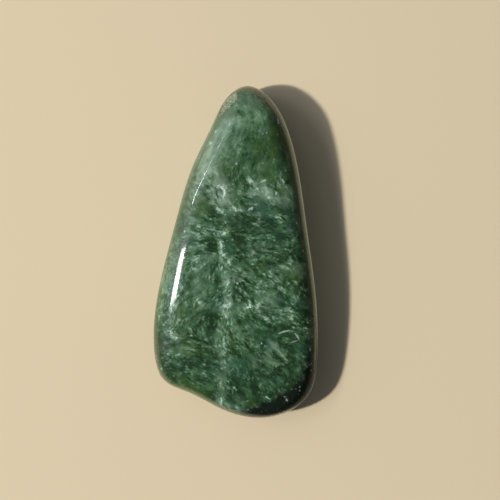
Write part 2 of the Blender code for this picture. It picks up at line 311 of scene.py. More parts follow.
stone = {
    "name": "seraphiniteStone",

    # Mesh
    "weld": 0.0005,  # corners closer than this are one
    "pair": (0.7, 2.0),  # radians: how bent and how skewed two triangles in one quad may be
    "levelCell": 0.55,  # side of the quads of the level spot underneath
    "rounding": 2,  # subdivision steps of the whole stone
    "guideRounding": 3,  # and of the smooth surface that finer corners are laid on
    "overhead": 20.0,  # a height above the whole stone
    "topFrom": 3.2,  # the top is above this, and the sides and the underside are below it
    "waves": ((0.16, 0.016, 3.0), (0.45, 0.004, 8.0)),  # an uneven polish: per mm, height, seed
    "wavesFrom": 0.02,  # the resting spot has none
    # where the mesh is finer: cuts of a quad, how far round a mark as a share of its length and a
    # margin, and how far round a crack at these shares of each of its lines
    "finer": {"cuts": 3, "share": 0.75, "margin": 0.1, "crack": 0.25,
              "along": (0.0, 0.34, 0.67, 1.0)},

    # Chips: a broken face through the surface at a place, facing a compass direction and leaning
    # back, hollowed by a bowl, with coarse steps and fine grain: height and per mm
    "chips": [
        {"at": (-0.12, 15.85), "facing": 146.0, "lean": 62.0, "reach": 1.9, "bowl": 0.10,
         "steps": (0.10, 2.2), "grain": (0.07, 9.0), "margin": 0.3, "feather": 0.05},
    ],

    # Pits: x, y, length, width, turn, depth, whiteness
    "pits": [
        (-1.73, 4.44, 0.85, 0.34, -40, 0.05, 0.8), (-0.16, 4.54, 0.62, 0.32, -50, 0.06, 0.8),
        (1.63, 4.49, 0.55, 0.3, 25, 0.06, 0.9), (2.26, 6.54, 0.48, 0.2, 0, 0.04, 0.6),
        (2.78, 7.27, 0.5, 0.24, 20, 0.06, 0.7), (3.36, 5.59, 0.3, 0.22, 0, 0.06, 0.65),
        (4.15, 6.01, 0.4, 0.24, 90, 0.05, 0.8), (1.52, 7.22, 0.3, 0.26, 0, 0.04, 0.7),
        (-1.21, 1.92, 0.5, 0.26, 45, 0.05, 0.8), (-1.47, 0.66, 1.25, 0.3, 92, 0.05, 0.8),
        (-1.2, -0.29, 0.4, 0.3, 30, 0.06, 0.9), (-0.68, -1.02, 0.5, 0.32, 120, 0.05, 0.65),
        (-1.42, -1.65, 0.4, 0.28, 60, 0.05, 0.6), (-0.79, -3.23, 0.6, 0.28, 60, 0.05, 0.7),
        (-1.1, -5.54, 0.62, 0.46, 20, 0.07, 0.8), (-0.58, -5.2, 0.5, 0.28, 60, 0.06, 0.75),
        (-1.0, -6.6, 0.55, 0.26, 80, 0.05, 0.7), (1.28, -5.64, 0.64, 0.32, 15, 0.08, 1.0),
        (1.45, -5.46, 0.54, 0.28, 95, 0.1, 1.0), (2.72, -9.4, 0.34, 0.18, 100, 0.04, 0.75),
        # the pit at (-1.5, -15.45) is a bright notch at the seam's end: its white is a painted
        # highlight
        (0.16, -3.12, 0.26, 0.22, 0, 0.05, 0.8), (-1.5, -15.45, 0.75, 0.2, 88, 0.06, 0.9),
        (-4.6, -8.6, 0.3, 0.26, 0, 0.04, 0.5), (3.0, 15.7, 0.35, 0.22, -50, 0.05, 0.7),
        (4.45, 13.45, 0.8, 0.24, 92, 0.04, 0.95), (-2.6, 11.2, 0.34, 0.22, 60, 0.05, 0.8),
        (-2.02, 12.4, 0.3, 0.2, 60, 0.05, 0.7), (0.16, 9.06, 0.22, 0.2, 0, 0.04, 0.7),
        (4.9, 7.27, 0.6, 0.26, -60, 0.05, 0.6), (3.4, -15.15, 0.7, 0.2, -40, 0.05, 0.75),
        (5.3, -15.3, 0.4, 0.16, -70, 0.05, 0.8), (7.75, -10.15, 0.36, 0.18, 100, 0.04, 0.9),
        (7.95, -11.6, 0.3, 0.24, 0, 0.04, 0.85), (8.0, -12.3, 0.26, 0.2, 0, 0.04, 0.75),
        (-5.2, 2.1, 0.22, 0.2, 0, 0.04, 0.9), (-6.1, -8.85, 0.42, 0.26, 40, 0.05, 0.75),
        (-6.67, -8.2, 0.34, 0.2, 85, 0.05, 0.75), (-5.95, -10.6, 0.6, 0.22, 15, 0.04, 0.6),
        (-7.02, -10.5, 0.26, 0.2, 0, 0.04, 0.7), (-7.75, -12.1, 0.32, 0.2, 90, 0.04, 0.85),
    ],
    "pitSeed": 3.7,  # from one pit to the next
    "pitRagged": 0.65,  # how far their borders stray from an oval
    # the border of every pit: how far out it can reach, then per mm and strength of its wobbles
    "pitBorder": {"reach": 2.2, "coarse": (3.5, 1.1), "fine": (9.0, 0.9), "steepness": 2.0},
    "haloWidth": 1.9,  # times the pit's own size

    # A deeper pit. On one side of its rim a painted highlight, where the wall faces the light;
    # on the other side and inside it, painted shade
    "hollow": {"at": (-1.52, 6.12), "length": 1.60, "width": 1.12, "turn": 105, "depth": 0.15,
               "ragged": 0.25, "seed": 7.0, "highlightSide": 35, "white": 2.8, "highlightPast": 0.25,
               "shadePast": -0.2, "inside": 0.40},

    # Cracks: fine open lines through points. Their white is in part a painted highlight, where
    # a wall of the crack catches the light
    "cracks": [
        {"path": ((4.45, -8.38), (5.0, -8.18), (5.6, -8.08)), "width": 0.26, "depth": 0.06,
         "white": 0.95},
        {"path": ((6.12, -8.36), (6.35, -8.62), (6.58, -9.05)), "width": 0.28, "depth": 0.06,
         "white": 0.75},
        {"path": ((5.67, -9.38), (6.05, -9.22), (6.44, -9.12)), "width": 0.18, "depth": 0.05,
         "white": 0.6},
        {"path": ((4.4, -10.05), (4.85, -10.65), (5.35, -11.2)), "width": 0.18, "depth": 0.03,
         "white": 0.4},
        {"path": ((-3.25, 2.45), (-2.3, 2.3), (-1.45, 2.05)), "width": 0.18, "depth": 0.04,
         "white": 0.6},
    ],
    "crackEnds": (0.35, 0.02),  # their width at the ends and how near the ends, as shares

    # Small knocks where no pit is listed: underneath and round the sides
    "strayPits": {"count": 26, "seed": 11, "within": ((-8.5, 8.5), (-17.0, 17.0), (-1.0, 3.2)),
                  "size": (0.18, 0.55), "depth": (0.03, 0.07), "white": (0.2, 0.7), "slim": 0.7,
                  "turnStep": 40.0, "seedStep": 5.3},

    # Fibre guides: x, y, turn
    "fibreGuides": [
        (0.3, 16.4, 35), (1.9, 16.5, -22), (3.2, 15.7, -48), (-0.8, 14.7, 60), (0.6, 15.1, -25),
        (1.7, 14.0, -62), (3.1, 13.5, 88), (4.3, 13.5, -82), (-0.7, 11.7, 52), (0.7, 11.6, 64),
        (1.9, 11.2, 70), (3.0, 10.9, 86), (4.3, 9.7, -85), (-1.8, 9.7, 60), (-0.6, 9.4, 56),
        (1.5, 9.4, 60), (-0.3, 8.3, 86), (1.5, 8.1, 78), (-1.7, 7.2, -38), (1.6, 7.2, -42),
        (3.0, 6.2, -36), (4.3, 5.7, -66), (-2.9, 4.9, -30), (-0.5, 4.9, -38), (-3.0, 3.6, -28),
        (-0.2, 3.6, -36), (2.8, 3.5, -8), (5.3, 3.6, -30), (-3.2, 2.4, 4), (0.5, 2.3, -4),
        (4.1, 2.4, 4), (-3.7, 0.2, -4), (0.6, 0.0, -30), (2.2, 0.3, -12), (4.7, 0.2, 4),
        (-3.0, -1.2, 60), (-0.8, -1.2, -58), (0.8, -1.0, -22), (3.0, -1.0, -24), (5.1, -1.1, -48),
        (-3.0, -3.1, 66), (-0.8, -3.3, 52), (3.0, -3.3, -24), (5.1, -3.8, -60), (-4.6, -5.0, 62),
        (-2.8, -5.6, 45), (1.0, -4.6, -50), (3.6, -5.3, -16), (-3.9, -7.1, -80), (-1.2, -6.9, 76),
        (0.9, -7.1, -56), (3.0, -7.3, -36), (5.1, -6.9, -16), (-1.4, -9.0, 89), (1.7, -8.9, -42),
        (3.3, -9.2, -52), (5.5, -9.0, -20), (-6.0, -9.9, 0), (-3.7, -9.9, -14), (-0.5, -10.5, -30),
        (1.7, -10.5, -46), (4.1, -10.3, -47), (5.6, -10.5, -42), (-5.8, -11.5, -4),
        (-3.5, -11.5, -22), (0.8, -11.5, -60), (2.8, -11.5, -42), (5.0, -11.7, -40),
        (-5.8, -13.5, -27), (-3.6, -13.5, -33), (-0.5, -13.8, -86), (1.0, -14.3, -30),
        (2.8, -14.3, -46), (4.4, -14.5, -54),
    ],
    "fibreSpread": 1.15,  # how far one guide is felt
    "fibreFar": 0.0001,  # how weakly it is felt everywhere else

    # Mottles: x, y, radii, turn, tone (above 0 is paler)
    "mottles": [
        (0.9, 14.4, 2.2, 2.0, 70, 0.33), (-0.8, 12.8, 1.2, 1.4, 60, 0.2),
        (-1.5, 14.3, 0.6, 0.8, 60, -0.5), (4.2, 12.0, 0.65, 2.6, 8, -0.75),
        (2.2, 10.6, 1.0, 0.9, 0, -0.15), (0.2, 7.8, 0.9, 1.0, 0, -0.2),
        (-1.3, 6.0, 0.9, 1.4, -20, 0.35), (2.4, 6.6, 1.7, 0.7, -36, 0.45),
        (-1.4, 4.4, 0.9, 0.6, -40, 0.25), (0.5, 2.9, 1.5, 1.0, -20, -0.25),
        (1.8, 1.9, 0.6, 0.6, 0, -0.35), (-6.5, 0.0, 0.5, 0.9, 0, 0.65),
        (-2.6, 1.0, 0.8, 0.9, 0, -0.2), (0.1, 1.1, 1.0, 0.8, 0, -0.1),
        (0.5, 0.0, 0.5, 0.4, 0, 0.3), (-3.3, 0.6, 0.9, 1.0, 0, 0.15),
        (-3.3, -4.0, 1.0, 2.0, 60, 0.15), (2.8, -4.7, 1.4, 1.1, 0, 0.4),
        (5.0, -4.8, 1.0, 0.7, 0, -0.15), (5.6, -6.3, 0.5, 0.9, 0, 0.45),
        (-2.8, -6.9, 1.2, 0.9, 0, -0.1), (3.2, -8.2, 1.2, 0.6, -30, -0.22),
        (-4.8, -12.3, 2.0, 1.2, -20, -0.12), (6.5, -12.4, 0.5, 0.7, 15, 0.42),
        (3.5, -11.3, 0.85, 0.45, -60, 0.35), (2.6, -11.8, 0.8, 0.8, -45, -0.32),
        (1.2, -13.8, 1.2, 1.2, 0, -0.2), (-0.5, -16.4, 1.4, 0.5, -10, 0.25),
        (-2.2, -15.3, 0.6, 0.5, 0, -0.3), (1.5, -15.3, 0.6, 0.5, 0, -0.3),
        (6.6, 0.0, 0.6, 7.0, 5, -0.1), (-2.4, 8.0, 0.9, 0.8, 60, 0.75),
        (-1.1, 10.3, 1.6, 0.75, 62, 0.68), (0.0, 11.7, 0.6, 0.6, 0, -0.25),
        (-0.4, 14.2, 0.6, 0.5, 60, -0.4), (2.9, 13.8, 0.8, 0.7, 0, 0.45),
        (-0.2, 12.8, 1.3, 0.8, 62, 0.6), (3.3, 6.3, 1.4, 0.8, 0, 0.4),
        (5.5, 5.5, 0.6, 1.6, 10, 0.4), (-0.1, 16.0, 0.9, 0.6, 0, -0.55),
        (3.6, 10.3, 0.6, 0.9, 0, 0.4), (-7.3, -3.0, 0.6, 1.2, 0, 0.6),
        (4.9, -1.9, 0.9, 1.5, 0, 0.35), (7.2, -5.5, 0.5, 1.5, 0, -0.4),
        (3.8, -10.0, 0.8, 0.7, 0, 0.45), (1.9, -0.4, 0.7, 0.6, 0, -0.3),
        (-1.9, 0.8, 0.8, 0.7, 0, -0.65), (1.5, 16.3, 0.9, 0.6, 0, 0.45),
        (-3.2, 2.0, 1.0, 0.7, 0, 0.7), (-3.4, 3.7, 0.9, 0.8, 0, 0.5),
        (-4.2, -0.5, 0.7, 1.2, 0, 0.5), (-2.4, -1.5, 0.8, 0.9, 0, 0.4),
        (-0.7, -2.0, 0.5, 0.5, 0, 0.35), (3.3, -2.6, 1.1, 1.0, 0, 0.48),
        (-4.2, -5.5, 0.9, 0.8, 0, 0.6), (-6.2, -4.6, 0.7, 0.9, 0, 0.25),
        (1.2, -6.0, 1.0, 0.8, 0, 0.35), (3.5, -6.0, 0.9, 0.9, 0, 0.25),
        (3.8, -7.2, 0.7, 0.6, 0, 0.35), (0.3, -2.4, 0.7, 0.6, 0, 0.3),
        (-0.9, -8.6, 0.6, 0.8, 0, 0.3), (-6.0, -8.4, 0.9, 0.8, 0, 0.45),
        (-5.8, -3.0, 0.6, 0.8, 0, 0.35), (-1.9, -10.8, 0.5, 0.6, 0, -0.3),
        (-5.7, -10.7, 0.7, 0.4, 0, 0.35), (-4.9, -10.0, 0.85, 0.38, -10, 0.4),
        (-2.9, -10.0, 0.85, 0.35, -15, 0.35), (-2.2, -10.9, 1.0, 0.38, -15, -0.4),
        (-5.2, -11.3, 0.4, 0.4, 0, 0.25), (-1.8, -11.6, 0.5, 0.6, 0, 0.25),
        (-3.2, -14.5, 0.8, 0.5, -25, -0.3), (-7.8, -9.6, 0.6, 1.3, 0, -0.4),
        (-3.5, -8.8, 0.7, 0.6, 0, -0.4), (-3.3, -7.1, 0.7, 0.6, 0, -0.4),
        (1.4, -16.4, 0.9, 0.4, -10, -0.5), (-1.9, 4.2, 0.8, 1.1, 0, -0.35),
        (-0.4, -11.1, 0.6, 0.6, 0, 0.3), (0.0, 6.3, 0.5, 0.6, 0, 0.3),
        (1.1, 10.5, 0.7, 0.7, 0, 0.25), (-2.5, -13.8, 0.5, 0.5, 0, 0.25),
        (-7.9, -6.8, 0.5, 0.8, 0, 0.5), (-7.4, -12.8, 0.9, 0.7, 0, -0.45),
        (-8.5, -8.5, 0.5, 4.0, 0, -0.6), (6.0, -10.2, 0.8, 1.2, 0, -0.35),
        (7.3, -10.3, 0.5, 1.0, 0, -0.5), (5.5, -13.1, 1.0, 0.8, 0, -0.55),
        (5.3, -14.8, 0.8, 0.5, 20, -0.45), (3.0, -12.9, 0.7, 0.7, 0, -0.28),
        (-0.1, -14.4, 0.8, 0.6, 0, -0.7), (4.8, 8.2, 0.7, 1.0, 0, -0.4),
        (-5.0, -7.6, 0.6, 0.7, 0, -0.3), (-5.0, 3.2, 0.5, 0.9, 0, -0.45),
        (-4.2, 5.2, 0.5, 0.7, 0, -0.3), (-5.0, 0.7, 0.5, 0.8, 0, -0.4),
        (5.1, -8.9, 0.6, 0.6, 0, -0.35), (-2.9, -14.8, 0.7, 0.5, 0, -0.35),
        (1.4, -3.4, 0.6, 0.5, 0, 0.3), (-3.7, -4.6, 0.5, 0.6, 0, 0.4),
        (-0.8, 1.6, 0.5, 0.5, 0, 0.4), (-2.6, -8.3, 0.6, 0.5, 0, 0.35),
        (-6.3, -6.3, 0.6, 0.5, 0, 0.4), (-7.0, -3.1, 0.4, 0.8, 0, 0.3),
        (0.9, -9.8, 0.6, 0.5, 0, 0.4), (0.3, -7.6, 0.6, 0.5, 0, 0.4),
        (0.7, -4.3, 0.5, 0.5, 0, -0.4),
    ],

    # Tints: x, y, radii, amount (above 0 is teal, below 0 is moss)
    "tints": [
        (3.6, 3.2, 3.4, 1.5, 0.17), (0.2, 1.0, 1.6, 1.0, 0.1), (1.4, -4.3, 1.1, 0.9, 0.15),
        (-6.3, -4.0, 0.9, 2.4, 0.08), (0.9, -12.0, 1.3, 1.6, 0.2), (2.2, -14.0, 1.4, 1.0, 0.1),
        (3.6, -10.2, 1.3, 0.9, 0.14), (-4.6, -12.0, 1.6, 1.0, 0.08), (-7.8, -8.8, 0.6, 1.2, -0.18),
        (-6.9, -12.6, 1.0, 0.8, -0.18), (-2.2, -10.9, 1.0, 0.5, -0.2),
        (-5.4, -14.2, 1.9, 0.7, -0.22), (3.9, 8.2, 1.5, 2.8, -0.12), (0.3, 5.2, 1.0, 1.2, -0.1),
        (6.3, -2.5, 0.9, 1.8, -0.18), (0.6, 16.9, 1.6, 0.5, -0.25),
    ],

    # A pale ragged seam down the stone's middle: tone and flecks from its upper to its lower end
    "seam": {
        "path": (
            (-1.3, 2.2), (-1.45, 0.6), (-0.95, -1.0), (-0.85, -3.0), (-0.95, -5.6), (-1.15, -8.0),
            (-1.3, -10.5), (-1.2, -13.0), (-1.5, -15.8),
        ),
        "width": 0.62,
        "tone": (0.28, 0.36, 0.18),
        "fleck": (0.85, 0.55, 0.20),
    },

    # The round sides are a little darker and plainer, in part because the fibres show end on
    # there, in part as painted shade where the round falls away from the light: between these z
    # of the surface's direction
    "sides": {"from": 0.92, "to": 0.50, "tint": (0.74, 0.76, 0.50, 1.0),
              "plain": (0.058, 0.104, 0.040, 1.0), "plainShare": 0.35},

    # The heel's corner is painted nearly black to the right of this path: painted shade
    # where the round corner faces away from the light
    "heelPaintedShade": {
        "path": (
            (-0.2, -16.8), (1.0, -16.4), (2.3, -15.8), (4.0, -15.2), (5.5, -14.5), (6.6, -13.4),
            (7.2, -11.9), (7.6, -10.0), (8.3, -7.5),
        ),
        "within": 3.0,
        "border": (-0.55, 0.40),
        "ragged": 0.5,
        "raggedSide": 1.3,  # and so much more round the side
        "wobbles": ((0.9, 1.0), (2.3, 0.5)),  # per mm, strength
        "ends": ((0.0, 0.14, 0.70, 1.0), (0.0, 1.0, 1.0, 0.0)),  # share of the path, strength
    },

    # Pale hazes: along the left edge near the tip, round the hollow, low on the seam, among the
    # pits, at the heel, below the cracks, across the tip and along the left edge further down. The
    # two along the left edge are a painted sheen, a reflection of the soft light; the one across
    # the tip is simply paler; the others are pale hazes of finer fibres. The strengths are spread
    # evenly along the path.
    "hazes": [
        {"path": ((-0.6, 15.2), (-1.9, 13.2), (-3.1, 11.0), (-4.0, 8.6), (-4.9, 6.0), (-5.5, 3.4),
                  (-6.1, 1.0), (-7.0, -3.0)), "width": 1.15,
         "strength": (0.05, 0.36, 0.92, 0.6, 0.32, 0.08, 0.14, 0.1)},
        {"path": ((-2.4, 8.6), (-1.9, 7.2), (-1.3, 5.6), (-0.5, 3.6)), "width": 0.9,
         "strength": (0.3, 0.52, 0.62, 0.06)},
        {"path": ((-1.3, -8.0), (-1.3, -10.5), (-1.3, -13.0), (-1.6, -15.8)), "width": 0.55,
         "strength": (0.08, 0.12, 0.1, 0.18)},
        {"path": ((2.0, 6.9), (3.0, 6.0), (5.2, 5.2)), "width": 0.7, "strength": (0.2, 0.3, 0.2)},
        {"path": ((-0.8, -15.9), (0.0, -16.25), (0.9, -16.4)), "width": 0.35,
         "strength": (0.2, 0.35, 0.2)},
        {"path": ((3.4, -9.15), (3.95, -9.7), (4.55, -10.35), (5.3, -11.15)), "width": 0.19,
         "strength": (0.3, 0.45, 0.25, 0.08)},
        {"path": ((0.2, 15.5), (1.3, 15.9), (2.4, 15.2)), "width": 0.55,
         "strength": (0.12, 0.35, 0.25)},
        {"path": ((-6.2, 2.5), (-6.7, 0.3), (-7.35, -1.9), (-7.7, -4.0), (-7.8, -6.0)),
         "width": 0.45, "strength": (0.15, 0.38, 0.26, 0.2, 0.1)},
    ],

    # The look. Shares are from 0 to 1, and detail and roughness are those of the noise.
    "look": {
        "ramp": (
            (0.00, (0.007, 0.026, 0.006, 1.0)),
            (0.25, (0.020, 0.062, 0.022, 1.0)),
            (0.50, (0.056, 0.130, 0.062, 1.0)),
            (0.75, (0.140, 0.245, 0.158, 1.0)),
            (1.00, (0.340, 0.470, 0.375, 1.0)),
        ),
        "tone": 0.296,  # where the plain stone is on the ramp
        "mottle": 0.62,  # strength of the listed mottles
        "fibres": (  # grain per mm, reach, sway per mm, sway in radians, contrast, share
            (9.0, 0.05, 1.6, 2.4, 6.0, 0.14),
            (4.6, 0.11, 1.3, 2.8, 6.0, 0.16),
            (2.3, 0.20, 0.9, 2.4, 6.0, 0.21),
            (1.1, 0.42, 0.5, 1.6, 5.0, 0.26),
        ),
        # the finer fibres stand out more in some places: per mm, between these, so many times
        "busy": (0.75, (0.38, 0.62), (0.30, 1.45)),
        "busyFrom": 2.0,  # grain per mm
        # towards the tip, between these y, the fibres are longer, and they stand out less
        "silk": ((6.5, 10.5), (1.0, 2.6)),
        "calm": ((9.0, 12.5), (1.0, 0.80)),
        "clouds": (  # per mm, detail, roughness, share
            (0.55, 5.0, 0.62, 0.75),
            (1.25, 3.0, 0.60, 0.70),
        ),
        "cloudWarp": 0.5,
        "tufts": (  # cells per mm, length, width, fan, share, shift
            (0.95, 0.60, 0.30, 1.8, 0.28, 0.0),
            (1.35, 0.44, 0.22, 2.0, 0.28, 7.3),
            (2.10, 0.28, 0.15, 2.2, 0.22, 13.1),
            (1.10, 0.55, 0.30, 1.8, -0.32, 21.7),
        ),
        "tuftSway": (0.9, 1.2),  # per mm, radians
        "tuftFray": -0.5,  # how far the fibres fray their borders
        "tuftBody": (1.0, 0.15),  # where it starts and is full, as a share of its size
        "tuftStrength": (0.1, 1.0),  # draws from faintest to strongest
        "halo": 0.26,  # paler round the pits
        "shade": -0.30,  # darker in the hollow
        "tint": (0.35, 3.0),  # per mm, detail
        "tealWhere": (0.54, 0.72, 0.0, 0.35),  # between these tints, this share
        "mossWhere": (0.46, 0.28, 0.0, 0.55),
        "teal": (0.022, 0.085, 0.060, 1.0),
        "moss": (0.040, 0.088, 0.014, 1.0),
        "mist": (0.150, 0.215, 0.175, 1.0),
        "mistPerMm": 0.6,
        "mistWhere": (0.54, 0.74),
        "mistTone": (0.1, 0.8, 0.10, 0.60),  # between these tones, this share
        # colour of the pale hazes and of the painted sheen along the left edge
        "haze": (0.255, 0.355, 0.268, 1.0),
        "hazeFibres": 0.6,
        "hazeSide": (0.2, 1.0, 1.0, 0.35),  # round the side, this share is left
        # painted shade of the heel's corner, nearly black
        "heelPaintedShade": (0.002, 0.006, 0.001, 1.0),
        "heelShadeFibres": 0.20,
        "heelShadeWhere": (0.10, 0.95),
        "specks": ((2.6, 0.83), (4.2, 0.86)),  # cells per mm, share left bare
        "speckSize": (0.34, 0.10),  # where it starts and is full, in cells
        "speckEdge": 0.2,
        "speckGather": -0.55,  # the bare share where they gather
        "speckStrength": (0.45, 0.85),  # away from there, and there
        "haloGather": 0.8,
        "dust": (7.0, 3.0),  # per mm, detail
        "dustWhere": (0.34, 0.60, 0.40, 1.0),
        # white of crushed powder and of the painted highlights
        "powderAndHighlightWhite": (0.47, 0.64, 0.56, 1.0),
        "grit": (7.0, 5.0),  # per mm, detail
        "gritWhere": (0.42, 0.66),
        "chipDark": (0.120, 0.145, 0.090, 1.0),
        "chipPale": (0.420, 0.450, 0.360, 1.0),
        "chipShare": 0.9,
        "roughness": (-0.5, 0.5, 0.50, 0.34),  # between these streaks, from and to
        "mattRoughness": 0.72,
        "polishLost": (0.05, 0.6),  # between these, a knock loses its polish
        "coatRoughness": 0.05,
        "ior": 1.57,
        "specular": 0.35,
        "bump": (0.25, 0.03),  # strength, distance
        "bumpFibres": 0.5,
        # each noise has a place of its own, so far along this way, so that no two are alike
        "shiftWay": (1.0, 0.7, 1.3),
        "shifts": {"fibres": 5.0, "tufts": 2.5, "busy": 23.0, "clouds": 31.0, "tint": 3.0,
                   "mist": 17.0, "specks": 41.0, "dust": 9.0, "grit": 12.0},
    },
}


def cageFromFrame(cadNode):
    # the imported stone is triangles: pair them back into quads, and cut its level spot into cells
    cage = bmesh.new()
    cage.from_mesh(cadNode.data)
    weld = stone["weld"] * mm
    bmesh.ops.remove_doubles(cage, verts=cage.verts[:], dist=weld)

    def isLevel(face):
        return all(abs(corner.co.z) < weld for corner in face.verts)

    bmesh.ops.dissolve_faces(cage, faces=[face for face in cage.faces if isLevel(face)])
    spot = max((face for face in cage.faces if isLevel(face)), key=lambda face: face.calc_area())
    corners = [corner.co.copy() for corner in spot.verts]
    others = [face for face in cage.faces if face != spot]
    bent, skewed = stone["pair"]
    bmesh.ops.join_triangles(cage, faces=others, angle_face_threshold=bent,
                             angle_shape_threshold=skewed)
    for axis in (0, 1):
        low = min(corner[axis] for corner in corners)
        high = max(corner[axis] for corner in corners)
        steps = round((high - low) / (stone["levelCell"] * mm))
        for step in range(1, steps):
            place, normal = Vector((0.0, 0.0, 0.0)), Vector((0.0, 0.0, 0.0))
            place[axis] = low + (high - low) * step / steps
            normal[axis] = 1.0
            cells = [face for face in cage.faces if isLevel(face)]
            around = cells + list({edge for face in cells for edge in face.edges})
            around += list({corner for face in cells for corner in face.verts})
            bmesh.ops.bisect_plane(cage, geom=around, plane_co=place, plane_no=normal, dist=weld)
    mesh = bpy.data.meshes.new("cage")
    cage.to_mesh(mesh)
    cage.free()
    return mesh


def subdivided(cageMesh, levels):
    holder = placed("cage", cageMesh)
    rounding = holder.modifiers.new("rounding", "SUBSURF")
    rounding.levels = rounding.render_levels = levels
    finished = holder.evaluated_get(bpy.context.evaluated_depsgraph_get())
    mesh = bpy.data.meshes.new_from_object(finished)
    bpy.data.objects.remove(holder)
    return mesh


def onTop(surface, x, y):
    hit = surface.ray_cast(Vector((x, y, stone["overhead"])) * mm, Vector((0.0, 0.0, -1.0)))
    return hit[0] / mm


def allPits(surface):
    # every pit as place, length, width, turn, depth, whiteness, seed, raggedness and halo
    found = []
    for number, (x, y, length, width, turn, depth, white) in enumerate(stone["pits"]):
        seed = number * stone["pitSeed"]
        found.append((onTop(surface, x, y), length, width, turn, depth, white, seed,
                      stone["pitRagged"], white))
    stray = stone["strayPits"]
    draw = np.random.default_rng(stray["seed"])
    number = 0
    while number < stray["count"]:
        place = [draw.uniform(*span) for span in stray["within"]]
        size, depth, white = [draw.uniform(*stray[key]) for key in ("size", "depth", "white")]
        place = surface.find_nearest(Vector(place) * mm)[0] / mm
        if place.z < stone["topFrom"]:
            found.append((place, size, size * stray["slim"], number * stray["turnStep"], depth,
                          white, number * stray["seedStep"], 1.0, 0.0))
            number += 1
    return found


def markPlaces(surface, pits):
    # every mark as a place on the stone and how far round it the mesh has to be fine
    finer, hollow = stone["finer"], stone["hollow"]
    places = [(chip["reach"], onTop(surface, *chip["at"])) for chip in stone["chips"]]
    sizes = [(hollow["length"], onTop(surface, *hollow["at"]))]
    sizes += [(length, at) for at, length, *others in pits]
    places += [(finer["share"] * length + finer["margin"], at) for length, at in sizes]
    for crack in stone["cracks"]:
        for (x, y), (nextX, nextY) in zip(crack["path"], crack["path"][1:]):
            for share in finer["along"]:
                at = onTop(surface, x + (nextX - x) * share, y + (nextY - y) * share)
                places.append((finer["crack"], at))
    return places


def refined(mesh, surface, pits):
    # finer quads near every mark, laid back on the smooth surface
    work = bmesh.new()
    work.from_mesh(mesh)
    middles = np.array([face.calc_center_median() for face in work.faces]) / mm
    near = np.zeros(len(middles), dtype=bool)
    for reach, place in markPlaces(surface, pits):
        near |= np.linalg.norm(middles - np.array(place), axis=1) < reach
    work.faces.ensure_lookup_table()
    chosen = {edge for index in np.flatnonzero(near) for edge in work.faces[index].edges}
    before = set(work.verts)
    bmesh.ops.subdivide_edges(work, edges=list(chosen), cuts=stone["finer"]["cuts"],
                              use_grid_fill=True)
    for corner in work.verts:
        if corner not in before:
            corner.co = surface.find_nearest(corner.co)[0]
    work.to_mesh(mesh)
    work.free()
    return mesh


def polishWaves(points):
    # how high the slight unevenness of a hand-polished face stands
    heights = np.zeros(len(points))
    for scale, height, seed in stone["waves"]:
        shift = Vector((seed, seed, seed))
        heights += [height * noise.noise(Vector(point) * scale + shift) for point in points]
    return heights


def softStep(share):
    share = np.clip(share, 0.0, 1.0)
    return share * share * (3.0 - 2.0 * share)


def eased(values, start, end):
    return softStep((values - start) / (end - start))


def turned(points, x, y, turn):
    # how far each point is from a place along a turned line, and across it
    a = math.radians(turn)
    awayX, awayY = points[:, 0] - x, points[:, 1] - y
    return awayX * math.cos(a) + awayY * math.sin(a), -awayX * math.sin(a) + awayY * math.cos(a)


def pitReach(points, at, length, width, turn):
    # 0 in the middle of a pit and 1 at its mean border
    along, across = turned(points, at[0], at[1], turn)
    depth = points[:, 2] - at[2]
    return np.sqrt((along / (0.5 * length)) ** 2 + (across / (0.5 * width)) ** 2
                   + (depth / length) ** 2)


def pitProfile(points, at, length, width, turn, seed, ragged):
    # 0 outside the pit, up to 1 in its middle, with a ragged border
    border = stone["pitBorder"]
    coarsePerMm, coarseShare = border["coarse"]
    finePerMm, fineShare = border["fine"]
    reach = pitReach(points, at, length, width, turn)
    profile = np.zeros(len(points))
    for index in np.flatnonzero(reach < border["reach"]):
        away = Vector(points[index] - np.array(at))
        coarse = noise.noise(away * coarsePerMm + Vector((seed, 0.0, 0.0)))
        fine = noise.noise(away * finePerMm + Vector((0.0, seed, 0.0)))
        wobble = ragged * (coarseShare * coarse + fineShare * fine)
        profile[index] = border["steepness"] * (1.0 - reach[index] * (1.0 + wobble))
    return softStep(profile)


def pathDistance(points, path):
    # how far each point is from a path seen from above, the share of the path it is nearest to,
    # and 1 to the right of the path or -1 to its left
    nearest = np.full(len(points), np.inf)
    shares, beside = np.zeros(len(points)), np.zeros(len(points))
    corners = [np.array(place) for place in path]
    for step, (a, b) in enumerate(zip(corners, corners[1:])):
        way, away = b - a, points[:, :2] - a
        share = np.clip((away @ way) / (way @ way), 0.0, 1.0)
        distance = np.linalg.norm(away - share[:, None] * way, axis=1)
        closer = distance < nearest
        nearest = np.where(closer, distance, nearest)
        shares = np.where(closer, (step + share) / (len(corners) - 1), shares)
        side = np.sign(away[:, 0] * way[1] - away[:, 1] * way[0])
        beside = np.where(closer, side, beside)
    return nearest, shares, beside


def alongPath(shares, values):
    # values spread evenly from a path's start to its end
    return np.interp(shares, np.linspace(0.0, 1.0, len(values)), values)


def crackProfile(points, crack):
    # 1 along the crack's line, falling to 0 at half its width, which tapers to the ends
    nearest, shares = pathDistance(points, crack["path"])[:2]
    thin, tip = stone["crackEnds"]
    taper = thin + (1.0 - thin) * np.sin(math.pi * np.clip(shares, tip, 1.0 - tip))
    profile = np.clip(1.0 - nearest / (0.5 * crack["width"] * taper), 0.0, 1.0)
    return np.where(points[:, 2] > stone["topFrom"], profile, 0.0)


